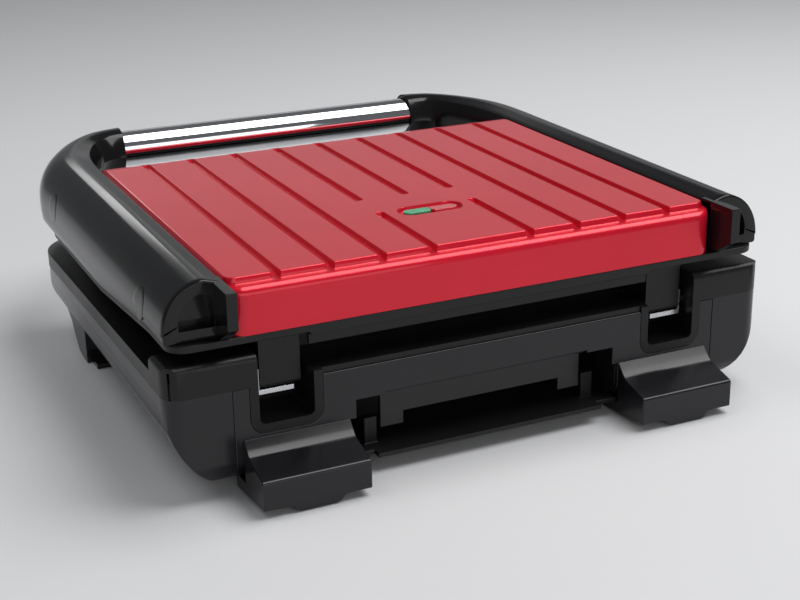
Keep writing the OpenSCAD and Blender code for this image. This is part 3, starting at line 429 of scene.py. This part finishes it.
def make_cover():
    xs = cover_columns()
    rows = cover_rows()
    verts = []
    for y, z, ny, nz in rows:
        half = flat_half_width(y)
        # Columns outside this half width close up to follow the corners
        fixed = 120.0 if y > 0 else 100.0
        for x in xs:
            ax = abs(x)
            if ax > fixed:
                ax = fixed + (ax - fixed) * (half - fixed) / (FLAT_HALF - fixed)
            px = math.copysign(ax, x)
            d = cover_depth(px, y)
            verts.append((px, y - d * ny, z - d * nz))
    cols = len(xs)
    faces = grid_faces(len(rows), cols)

    # Border: along one side, round the rear and back along the other side
    border = [(r * cols, row[0], -1) for r, row in enumerate(rows)]
    last = (len(rows) - 1) * cols
    border += [(last + c, None, 0) for c in range(1, cols - 1)]
    border += [(r * cols + cols - 1, rows[r][0], 1) for r in range(len(rows) - 1, -1, -1)]
    loops = [[index for index, _, _ in border]]

    # Rounded edge, then the wall down to the cover's lower edge
    for degrees in (18, 36, 54, 72, 90):
        b = math.radians(degrees)
        loops.append([])
        for index, y, side in border:
            vx, vy, vz = verts[index]
            (tx, ty), r = wall_below(verts[index], y, side)
            pz = vz - r * (1 - math.cos(b))
            loops[-1].append(len(verts))
            verts.append((vx + (tx - vx) * math.sin(b), vy + (ty - vy) * math.sin(b), max(pz, COVER_Z)))
    for share in (0.3, 0.65, 1.0):
        loops.append([])
        for index, y, side in border:
            (tx, ty), r = wall_below(verts[index], y, side)
            pz = lerp(verts[index][2] - r, COVER_Z, share)
            loops[-1].append(len(verts))
            verts.append((tx, ty, max(pz, COVER_Z)))

    lip = []
    for index in loops[-1]:
        x, y, _ = verts[index]
        length = math.hypot(x, y)
        lip.append(len(verts))
        verts.append((x - LIP * x / length, y - LIP * y / length, COVER_Z))
    loops.append(lip)
    for a, b in zip(loops, loops[1:]):
        for k in range(len(a) - 1):
            faces.append((a[k], b[k], b[k + 1], a[k + 1]))
    piece("cover", verts, faces, "lid", "red_metal", ["lid_cover"], 60)


make_cover()

# Arms: one loft from the rear end along the side and round the front corner to the tube

# Straight part, with a flat top at the crest and a curve down to the side
ARM_IN = 134.3
ARM_OUT = 165.0
ARM_W = ARM_OUT - ARM_IN
ARM_Z = 110.5
ARM_END = 145.0
CREST = 9.0
CURVE_Z = 86.0
INNER_Z = 108.0
INNER_ROUND = 0.8
LOW_REAR = 81.5
LOW_FRONT = 73.5
RISE_FROM = 25.0
RISE_TO = 115.0
REBATE_Z = 5.6
REBATE = 0.45
# Front corner, where the outline turns into the circle of the ring round the tube's end
SWEEP_Y = -71.0
CORNER = (87.0, -97.0)
CORNER_R = 78.0
PULL = 1.1
INNER_POWER = 0.8
TURN_FROM = 0.45
TURN_RUN = 0.43
TUBE = (-161.0, 96.4)
RING_R = 14.0
RING_X = 100.0
# Mouth of the ring as (x, radius): rounded lip and the bore that holds the tube
RING_MOUTH = [(100.9, 14), (100.3, 13.7), (100.05, 13.2), (100, 12.6), (100.1, 12.0), (100.6, 11.65),
              (112, 11.6)]
# Rear end as (middle of the outline, its scale, y): rounded edge, flat face and recess
END_Z = 95.2
ARM_ENDING = [(15.3, 0.985, ARM_END - 0.4), (15.3, 0.955, ARM_END - 0.05), (15.3, 0.935, ARM_END),
              (12.4, 0.6, ARM_END), (12.4, 0.575, ARM_END - 0.1), (12.4, 0.565, ARM_END - 0.6),
              (12.4, 0.555, ARM_END - 7)]


def arm_low(y):
    """Height of the arm's lower edge along its straight side."""
    t = (y - RISE_FROM) / (RISE_TO - RISE_FROM)
    return lerp(LOW_FRONT, LOW_REAR, min(max(t, 0), 1))


def arm_section(low):
    """Outline of the straight arm, from the foot of its inner wall over the top to its lower edge."""
    a, b = ARM_W - CREST, ARM_Z - CURVE_Z
    pts = [(0, low), (0, lerp(low, INNER_Z - 1, 0.5)), (0, INNER_Z - 0.9), (0.25, INNER_Z - 0.3)]
    pts += [(lerp(INNER_ROUND, CREST, t), lerp(INNER_Z, ARM_Z, t)) for t in (0, 0.25, 0.5, 0.75)]
    curve_steps = 14
    for k in range(curve_steps + 1):
        t = math.radians(90 - 90 * k / curve_steps)
        pts.append((CREST + a * math.cos(t), CURVE_Z + b * math.sin(t)))
    rebate = low + REBATE_Z
    pts += [(ARM_W, lerp(CURVE_Z, rebate, 0.5)), (ARM_W, rebate), (ARM_W - REBATE, low + 5.1),
            (ARM_W - REBATE, low + 1.2), (ARM_W - 0.9, low + 0.3), (ARM_W - 2.2, low), (ARM_W * 0.5, low)]
    return pts


def ring_section(pts, width):
    """Circle of the ring, with one point for each point of the arm's outline."""
    mid_w, mid_z = width / 2, lerp(pts[0][1], ARM_Z, 0.5)
    out = []
    for w, z in pts:
        t = math.atan2(z - mid_z, w - mid_w)
        out.append((mid_w + mid_w * math.cos(t), TUBE[1] + RING_R * math.sin(t)))
    return out


def arm_stations():
    """Outlines from the rear end to the ring's mouth, as (inner plan point, outer plan point, outline)."""
    out = []
    straight_ys = spaced((ARM_END - 0.9, RISE_TO, 3), (RISE_TO, RISE_FROM, 9), (RISE_FROM, SWEEP_Y, 8))
    for y in reversed(straight_ys):
        out.append(((ARM_IN, y), (ARM_OUT, y), arm_section(arm_low(y))))

    # Round the corner, where the outline turns into the ring's circle
    steps = 40
    straight = SWEEP_Y - CORNER[1]
    arc = CORNER_R * math.acos((RING_X - CORNER[0]) / CORNER_R)
    for k in range(1, steps + 1):
        u = k / steps
        d = u * (straight + arc)
        if d < straight:
            outer = (ARM_OUT, SWEEP_Y - d)
        else:
            t = (d - straight) / CORNER_R
            y = CORNER[1] - CORNER_R * math.sin(t) - PULL * smooth(u)
            outer = (CORNER[0] + CORNER_R * math.cos(t), y)
        t = math.radians(90) * u
        inner = (RING_X + (ARM_IN - RING_X) * math.cos(t) ** INNER_POWER,
                 SWEEP_Y - (SWEEP_Y - TUBE[0] - RING_R) * math.sin(t) ** INNER_POWER)
        width = math.dist(outer, inner)
        flat = [(w * width / ARM_W, z) for w, z in arm_section(LOW_FRONT)]
        circle = ring_section(flat, width)
        m = smooth((u - TURN_FROM) / TURN_RUN)
        section = [(lerp(p[0], q[0], m), lerp(p[1], q[1], m)) for p, q in zip(flat, circle)]
        out.append((inner, outer, section))

    # Into the mouth of the ring
    for x, r in RING_MOUTH:
        scale = r / RING_R
        ring = [(lerp(RING_R, w, scale), lerp(TUBE[1], z, scale)) for w, z in section]
        out.append(((x, inner[1]), (x, outer[1]), ring))
    return out


def make_arm(side, name, replaced):
    stations = arm_stations()
    verts = []
    for inner, outer, section in stations:
        width = math.dist(inner, outer)
        for w, z in section:
            f = w / width
            verts.append((side * lerp(inner[0], outer[0], f), lerp(inner[1], outer[1], f), z))
    end_section = stations[0][2]
    cols = len(end_section)
    rows = len(stations)
    faces = grid_faces(rows, cols, closed=True)
    faces.append(tuple(range((rows - 1) * cols, rows * cols)))
    last = list(range(cols))
    for middle, scale, y in ARM_ENDING:
        loop = list(range(len(verts), len(verts) + cols))
        for w, z in end_section:
            verts.append((side * (ARM_IN + lerp(middle, w, scale)), y, lerp(END_Z, z, scale)))
        for k in range(cols):
            faces.append((last[k], last[(k + 1) % cols], loop[(k + 1) % cols], loop[k]))
        last = loop
    faces.append(tuple(last))
    piece(name, verts, faces, "lid", "gloss_black", [replaced], 34)


make_arm(1, "arm.R", "arm_right")
make_arm(-1, "arm.L", "arm_left")

# Fins that stand behind the inner walls of the arms
FIN_W = 5.2
FIN_Y = (136.0, 163.0)
FIN_Z = (82.6, 108.6)
FIN_SLOPE_Y = 150.6


def make_fin(side, name):
    (y0, y1), (z0, z1) = FIN_Y, FIN_Z
    outline = [(y0, z0), (FIN_SLOPE_Y, z0), (y1, z0 + 8), (y1, z1 - 0.4), (y1 - 0.4, z1), (y0, z1 - 0.2)]
    verts = [(side * x, y, z) for x in (ARM_IN, ARM_IN + FIN_W) for y, z in outline]
    fin = piece(name, verts, prism_faces(len(outline)), "lid", "gloss_black", (), 30)
    round_edges(fin, 0.7)


make_fin(1, "fin.R")
make_fin(-1, "fin.L")

# Plugs in the outer sides of the arms
PLUG_YS = (106.0, -72.0)
PLUG_Z = 90.2
PLUG_STEPS = 48
# Profile as (radius, how far it stands out of the arm)
PLUG_PROFILE = [(0, 0.12), (3, 0.12), (6, 0.12), (8.0, 0.12), (8.3, 0.05), (8.45, -0.25), (8.45, -1.0)]


def arm_side(z):
    """Outer surface of an arm's straight side at height z."""
    if z < CURVE_Z:
        return ARM_OUT
    t = min((z - CURVE_Z) / (ARM_Z - CURVE_Z), 1)
    return ARM_IN + CREST + (ARM_OUT - ARM_IN - CREST) * math.sqrt(1 - t * t)


def make_plugs():
    verts, faces = [], []
    for side in (-1, 1):
        for y in PLUG_YS:
            faces += grid_faces(len(PLUG_PROFILE), PLUG_STEPS, closed=True, start=len(verts))
            for r, out in PLUG_PROFILE:
                for k in range(PLUG_STEPS):
                    a = 2 * math.pi * k / PLUG_STEPS
                    z = PLUG_Z + r * math.cos(a)
                    verts.append((side * (arm_side(z) + out), y + r * math.sin(a), z))
    piece("plugs", verts, faces, "lid", "gloss_black", ["arm_plugs"], 50)


make_plugs()

# Windows of the indicator: two halves of a capsule, stepped where they meet
LENS_HALF = 15.35
LENS_R = 3.35
LENS_TOP = 107.75
LENS_FOOT = 104.6
LENS_GAP = 0.06
LENS_NOTCH = 1.1
LENS_STEPS = 14


def make_lens(side, name, node):
    outline = [(LENS_GAP, -LENS_R)]
    for k in range(LENS_STEPS + 1):
        a = math.radians(-90 + 180 * k / LENS_STEPS)
        outline.append((LENS_HALF - LENS_R + LENS_R * math.cos(a), LENS_R * math.sin(a)))
    notch_y = LENS_R - 2 * LENS_NOTCH
    outline += [(LENS_NOTCH, LENS_R), (LENS_NOTCH, notch_y), (LENS_GAP, notch_y)]
    verts = [(side * x, LENS_Y + y, z) for z in (LENS_FOOT, LENS_TOP) for x, y in outline]
    lens = piece(name, verts, prism_faces(len(outline)), "lid", node, [node], 30)
    round_edges(lens, 0.35)


make_lens(1, "lens.green", "green_lens")
make_lens(-1, "lens.red", "red_lens")

# CAD nodes that stay, with softened edges

# The rim has a coarser grain than the other mouldings
GRAINED = {"base_rim"}
# Thin mouldings, where the shortest edge would clamp the whole bevel to nothing
UNCLAMPED = {"rear_panel", "lid_housing", "rear_foot_left", "rear_foot_right", "bottom_cover"}
# Shells with so many short facets that a bevel leaves spikes on them
SPLIT = {"base_shell", "base_rim", "front_foot_left", "front_foot_right"}


def dress_node(name, obj):
    mat = MATS["grained" if name in GRAINED else SLOTS[name]]
    if not obj.data.materials:
        obj.data.materials.append(mat)
    for i in range(len(obj.data.materials)):
        obj.data.materials[i] = mat
    if obj.hide_render:
        return
    weld = obj.modifiers.new("weld", "WELD")
    weld.merge_threshold = WELD_M
    flat = obj.modifiers.new("flat", "DECIMATE")
    flat.decimate_type = "DISSOLVE"
    flat.angle_limit = math.radians(0.6)
    obj.data.shade_smooth()
    if name in SPLIT:
        split = obj.modifiers.new("edges", "EDGE_SPLIT")
        split.split_angle = math.radians(32)
        return
    bevel = obj.modifiers.new("edges", "BEVEL")
    bevel.width = (0.6 if name in UNCLAMPED else 0.4) * MM
    bevel.segments = 3
    bevel.limit_method = "ANGLE"
    bevel.angle_limit = math.radians(45 if name in UNCLAMPED else 20)
    bevel.use_clamp_overlap = name not in UNCLAMPED
    even = obj.modifiers.new("even", "WEIGHTED_NORMAL")
    even.weight = 100


for node_name, node in nodes.items():
    dress_node(node_name, node)

# Stage, in metres: a floor that curves up into a backdrop, with painted shade that darkens it towards the
# far end
STAGE_HALF = 4
FLOOR_FRONT = 3.0
BEND_Y = -1.6
BEND_R = 0.9
BACKDROP_TOP = 2.0
# Painted shade: the far colour is darker than the near one, standing in for light that falls off away from
# the object
FAR_Y, FAR_SHADE_COLOR = -2.2, (0.54, 0.55, 0.56)
NEAR_Y, NEAR_COLOR = -0.6, (0.72, 0.725, 0.735)


def stage_material():
    mat, tree, shader = new_material("stage")
    place = tree.nodes.new("ShaderNodeSeparateXYZ")
    tree.links.new(coordinates(tree), place.inputs["Vector"])
    # Painted shade: the colour fades from the near colour to the darker far colour along y
    depth = spread(tree, place.outputs["Y"], 0, 1, FAR_Y, NEAR_Y)
    tree.links.new(blend_colors(tree, depth, FAR_SHADE_COLOR, NEAR_COLOR), shader.inputs["Base Color"])
    shader.inputs["Roughness"].default_value = 0.6
    return mat


def make_stage():
    bend = [math.radians(a) for a in range(0, 91, 10)]
    profile = [(FLOOR_FRONT, 0.0)]
    profile += [(BEND_Y - BEND_R * math.sin(a), BEND_R - BEND_R * math.cos(a)) for a in bend]
    profile += [(BEND_Y - BEND_R, BACKDROP_TOP)]
    verts = [(x, y, z) for x in (-STAGE_HALF, STAGE_HALF) for y, z in profile]
    n = len(profile)
    faces = [(k, k + 1, n + k + 1, n + k) for k in range(n - 1)]
    mesh = bpy.data.meshes.new("stage")
    mesh.from_pydata(verts, [], faces)
    mesh.shade_smooth()
    mesh.materials.append(stage_material())
    obj = bpy.data.objects.new("stage", mesh)
    bpy.context.scene.collection.objects.link(obj)


make_stage()

# Lights, in metres and watts


def softbox(name, place, target, size, power, mirrored=True):
    """Rectangular lamp that looks at a target; one that isn't mirrored leaves no highlight."""
    light = bpy.data.lights.new(name, "AREA")
    light.shape = "RECTANGLE"
    light.size, light.size_y = size
    light.energy = power
    obj = bpy.data.objects.new(name, light)
    bpy.context.scene.collection.objects.link(obj)
    obj.location = place
    way = Vector(target) - Vector(place)
    obj.rotation_euler = way.to_track_quat("-Z", "Y").to_euler()
    obj.visible_camera = False
    obj.visible_glossy = mirrored


def make_world():
    world = bpy.data.worlds.new("studio")
    bpy.context.scene.world = world
    world.use_nodes = True
    background = world.node_tree.nodes["Background"]
    background.inputs["Color"].default_value = (0.5, 0.51, 0.53, 1)
    background.inputs["Strength"].default_value = 0.25


softbox("over", (-0.75, 0.25, 1.5), (-0.55, 0.2, 0), size=(1.3, 1.3), power=25)
softbox("fill", (0.2, 2.2, 0.7), (0, 0.1, 0.05), size=(2.4, 1.1), power=12)
softbox("back", (-0.95, -2.15, 0.85), (0, 0, 0.1), size=(2.8, 0.8), power=1.9)
softbox("side", (0.9, -0.3, 1.7), (0.1, 0, 0), size=(1.0, 1.0), power=7, mirrored=False)
softbox("rim", (-0.1, -2.1, 0.86), (0.1, 0, 0.1), size=(0.45, 0.2), power=0.75)
make_world()

# Camera, as fitted to the photograph's edges: lens in millimetres, place in metres
CAMERA_LENS = 67.19
CAMERA_PLACE = (0.3299, 0.7581, 0.3324)
CAMERA_RIGHT = (-0.90509, 0.42490, -0.01617)
CAMERA_UP = (-0.16023, -0.30560, 0.93858)


def make_camera():
    data = bpy.data.cameras.new("camera")
    data.sensor_width = 36
    data.lens = CAMERA_LENS
    data.clip_start = 0.01
    data.clip_end = 50
    cam = bpy.data.objects.new("camera", data)
    bpy.context.scene.collection.objects.link(cam)
    right, up = Vector(CAMERA_RIGHT), Vector(CAMERA_UP)
    turn = Matrix((right, up, right.cross(up))).transposed().to_4x4()
    cam.matrix_world = Matrix.Translation(CAMERA_PLACE) @ turn
    bpy.context.scene.camera = cam


make_camera()
bpy.context.scene.view_settings.view_transform = "Standard"
